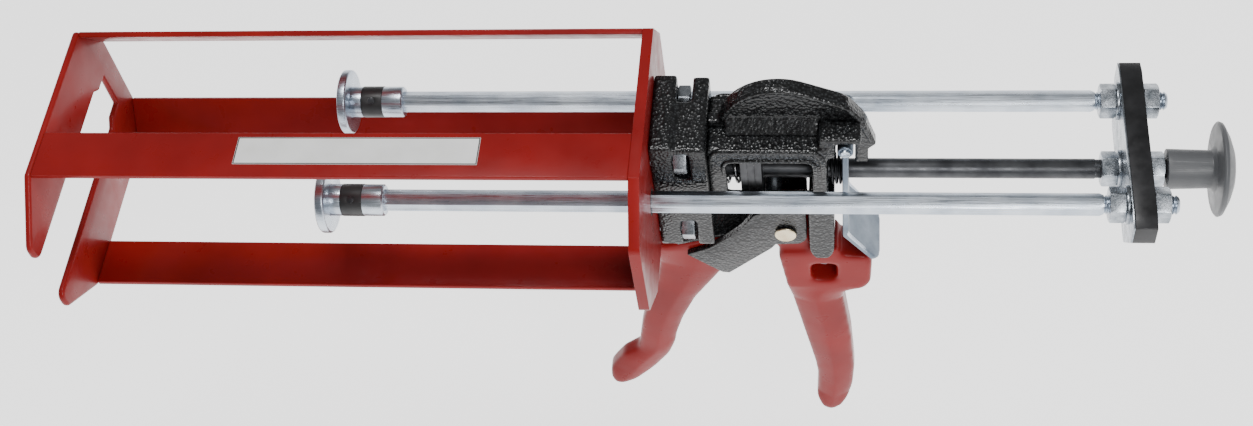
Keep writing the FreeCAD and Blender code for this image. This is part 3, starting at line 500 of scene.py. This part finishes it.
# ---------------------------------------------------------------- beads on the castings and the thumb tab
def make_dome_beads():
    """A raised rim along the dome's arc and down its sloping back, on each face."""
    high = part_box("dome_web")[1]
    inset, radius = 1.5 * MM, 25 * MM
    bead, turn = 1.5 * MM, 4 * MM
    centre_x, centre_z = 57.5 * MM, high[2] - radius
    arc = [(centre_x + (radius - inset) * math.cos(math.radians(a)),
            centre_z + (radius - inset) * math.sin(math.radians(a))) for a in range(168, 64, -6)]
    back = [(84.4 * MM, 33.2 * MM), (91.6 * MM, 22.6 * MM), (high[0] - 2.2 * MM, 9 * MM)]
    for end, face in (("near", -2.3 * MM), ("far", 2.3 * MM)):
        corners = [Vector((x, face, z)) for x, z in arc + back]
        tube(f"dome_bead_{end}", "dome_web", rounded_path(corners, turn), bead)


def make_window_beads():
    """The lips of each window: one along the housing's shoulder, one round the window's upper edge."""
    shoulder = [(29, 12), (30.5, 18.6), (72.5, 18.6), (75.6, 14), (75.6, 2)]
    window = [(34.2, 2), (34.2, 12.6), (72.4, 12.6), (72.4, -8)]
    for end, face in (("near", -14.6 * MM), ("far", 14.6 * MM)):
        for kind, line, turn, bead in (("shoulder", shoulder, 4 * MM, 1.4 * MM),
                                       ("window", window, 5 * MM, 1.2 * MM)):
            corners = [Vector((x * MM, face, z * MM)) for x, z in line]
            tube(f"{kind}_bead_{end}", "bridge_housing", rounded_path(corners, turn), bead)


def make_tab_rim():
    """The turned edge round the thumb tab."""
    low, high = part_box("release_lever")
    half_width = high[1] - 0.9 * MM
    near, far = Vector((0, -half_width, 0)), Vector((0, half_width, 0))
    shank, bend = Vector((84.2 * MM, 0, -24 * MM)), Vector((84.6 * MM, 0, -40 * MM))
    tip = Vector((high[0] - 1.4 * MM, 0, low[2] + 1.3 * MM))
    corners = [shank + near, bend + near, tip + near, tip + far, bend + far, shank + far]
    turn, bead = 5 * MM, 0.85 * MM
    # The rim takes the brighter zinc_plate, not the tab plate's darker copy: a painted highlight along the turned
    # edge.
    tube("tab_rim", "release_lever", rounded_path(corners, turn), bead, "zinc_plate")


# ---------------------------------------------------------------- rods
THREAD_PITCH = 1.25 * MM


def rim_point(x, y, z, radius, angle):
    """The point on a circle across X, at this angle from +Y."""
    return (x, y + radius * math.cos(angle), z + radius * math.sin(angle))


def hexagon_radius(flat, angle):
    """The radius of a hexagon with corners up and down, at this angle from +Y."""
    turn = math.radians(60)
    offset = (angle + turn / 2) % turn - turn / 2
    return flat / 2 / math.cos(offset)


def make_push_rod(node):
    """Hexagonal bar, chamfered at its shoulder, with a cut thread on its rear end."""
    low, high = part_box(node)
    flat = high[1] - low[1]
    middle_y, middle_z = (low[1] + high[1]) / 2, (low[2] + high[2]) / 2
    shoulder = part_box("yoke_front_nuts")[0][0] - 2 * MM
    sides = 48
    angles = [math.tau * i / sides for i in range(sides)]
    thread_top, thread_root = flat / 2 - 0.05 * MM, flat / 2 - 0.75 * MM
    hexagon = [hexagon_radius(flat, angle) for angle in angles]
    round_top, round_root = [thread_top] * sides, [thread_root] * sides
    spigot_end, hexagon_start, hexagon_end = low[0] + 12 * MM, low[0] + 12.5 * MM, shoulder - 1.5 * MM
    stations = [(low[0], round_root), (spigot_end, round_top), (hexagon_start, hexagon),
                (hexagon_end, hexagon), (shoulder, round_top)]
    x = shoulder + 0.4 * MM
    while x < high[0] - THREAD_PITCH:
        stations += [(x, round_root), (x + THREAD_PITCH / 2, round_top)]
        x += THREAD_PITCH
    stations += [(high[0] - 0.3 * MM, round_root), (high[0], [thread_root - 0.5 * MM] * sides)]
    shape = bmesh.new()
    skin(shape, [[rim_point(x, middle_y, middle_z, radius, angle) for radius, angle in zip(radii, angles)]
                 for x, radii in stations])
    adopt(from_bmesh(node + "_visual", shape, sharp_angle=25), node)


def make_spring(node):
    """A coil spring: the node's welded shape, in a mesh of its own."""
    spring = adopt(from_bmesh(node + "_visual", joined_faces(node), sharp_angle=60), node)
    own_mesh(spring)


# ---------------------------------------------------------------- label
def make_label():
    """A blank white label with a thin dark line just inside its edge. Insets come out 0.7 as wide as asked."""
    margin_inset, line_inset = 0.15 * MM, 0.7 * MM
    shape = joined_faces("blank_label")
    top = max(shape.faces, key=lambda face: face.calc_center_median().z)
    bmesh.ops.inset_individual(shape, faces=[top], thickness=margin_inset)
    ring = bmesh.ops.inset_individual(shape, faces=[top], thickness=line_inset)["faces"]
    for face in ring:
        face.material_index = 1
    obj = from_bmesh("blank_label_visual", shape)
    obj.data.materials.append(MATERIALS["label_film"])
    obj.data.materials.append(MATERIALS["label_edge"])
    adopt(obj, "blank_label")


# ---------------------------------------------------------------- making
def make_cradle():
    """Sheet metal with its edges broken, and the label on the upper near bar."""
    for node in ("front_plate", "rear_plate"):
        machined(node, 1.3 * MM, segments=4)
    for node in ("label_bar", "lower_bar", "upper_far_bar", "lower_far_bar"):
        machined(node, 0.5 * MM, segments=3)
    make_label()


def make_body():
    """Castings with soft corners, and the beads along them."""
    smoothed("mounting_block", voxel=0.7 * MM, passes=14)
    smoothed("bridge_housing", voxel=0.7 * MM, passes=14, shape_it=round_lug)
    smoothed("dome_web", voxel=0.6 * MM, passes=8)
    make_dome_beads()
    make_window_beads()


def make_handles():
    """The trigger and the rear grip, the thumb release, and the rivet the trigger turns on."""
    smoothed("trigger", voxel=0.9 * MM, passes=50,
             shape_it=crest(top=-66 * MM, fall=14 * MM, depth=0.45), material="red_grip_paint")
    smoothed("rear_grip", voxel=0.9 * MM, passes=44,
             shape_it=crest(top=-92 * MM, fall=14 * MM, depth=0.42), material="red_grip_paint")
    make_tab_rim()
    machined("trigger_cap", 0.5 * MM)
    # The tab plate takes the darker zinc copy: painted shade.
    smoothed("release_lever", voxel=0.5 * MM, passes=5, material="shaded_tab_zinc")
    machined("trigger_pivot", 0.8 * MM, segments=4, material="pivot_steel")


def make_hardware():
    """Plates, pins, bolts, nuts, bushes, plungers, the drive rod, the knob and the two springs."""
    for node in ("trigger_cheek_near", "trigger_cheek_far", "yoke_plate"):
        machined(node, 0.6 * MM, segments=3)
    for node in ("yoke_facing_plate", "yoke_washers", "frame_bolts"):
        machined(node, 0.25 * MM, material="nut_zinc")
    for node in ("grip_plate_front", "grip_plate_middle", "grip_plate_rear", "push_roller",
                 "trigger_dowels", "release_pin", "grip_bolt", "drive_rod", "drive_rod_bush",
                 "rod_bush_near", "rod_bush_far", "set_screws", "plunger_screws",
                 "plunger_disc_near", "plunger_disc_far", "plunger_collar_near", "plunger_collar_far",
                 "collar_band_near", "collar_band_far", "pull_knob"):
        machined(node, 0.25 * MM)
    for node in ("frame_nuts", "yoke_front_nuts", "yoke_rear_nuts"):
        machined(node, 0.3 * MM, segments=3, material="nut_zinc")
    make_spring("return_spring")
    make_spring("release_spring")


make_camera()
make_surroundings()
make_cradle()
for rod in ("push_rod_near", "push_rod_far"):
    make_push_rod(rod)
make_body()
make_handles()
make_hardware()
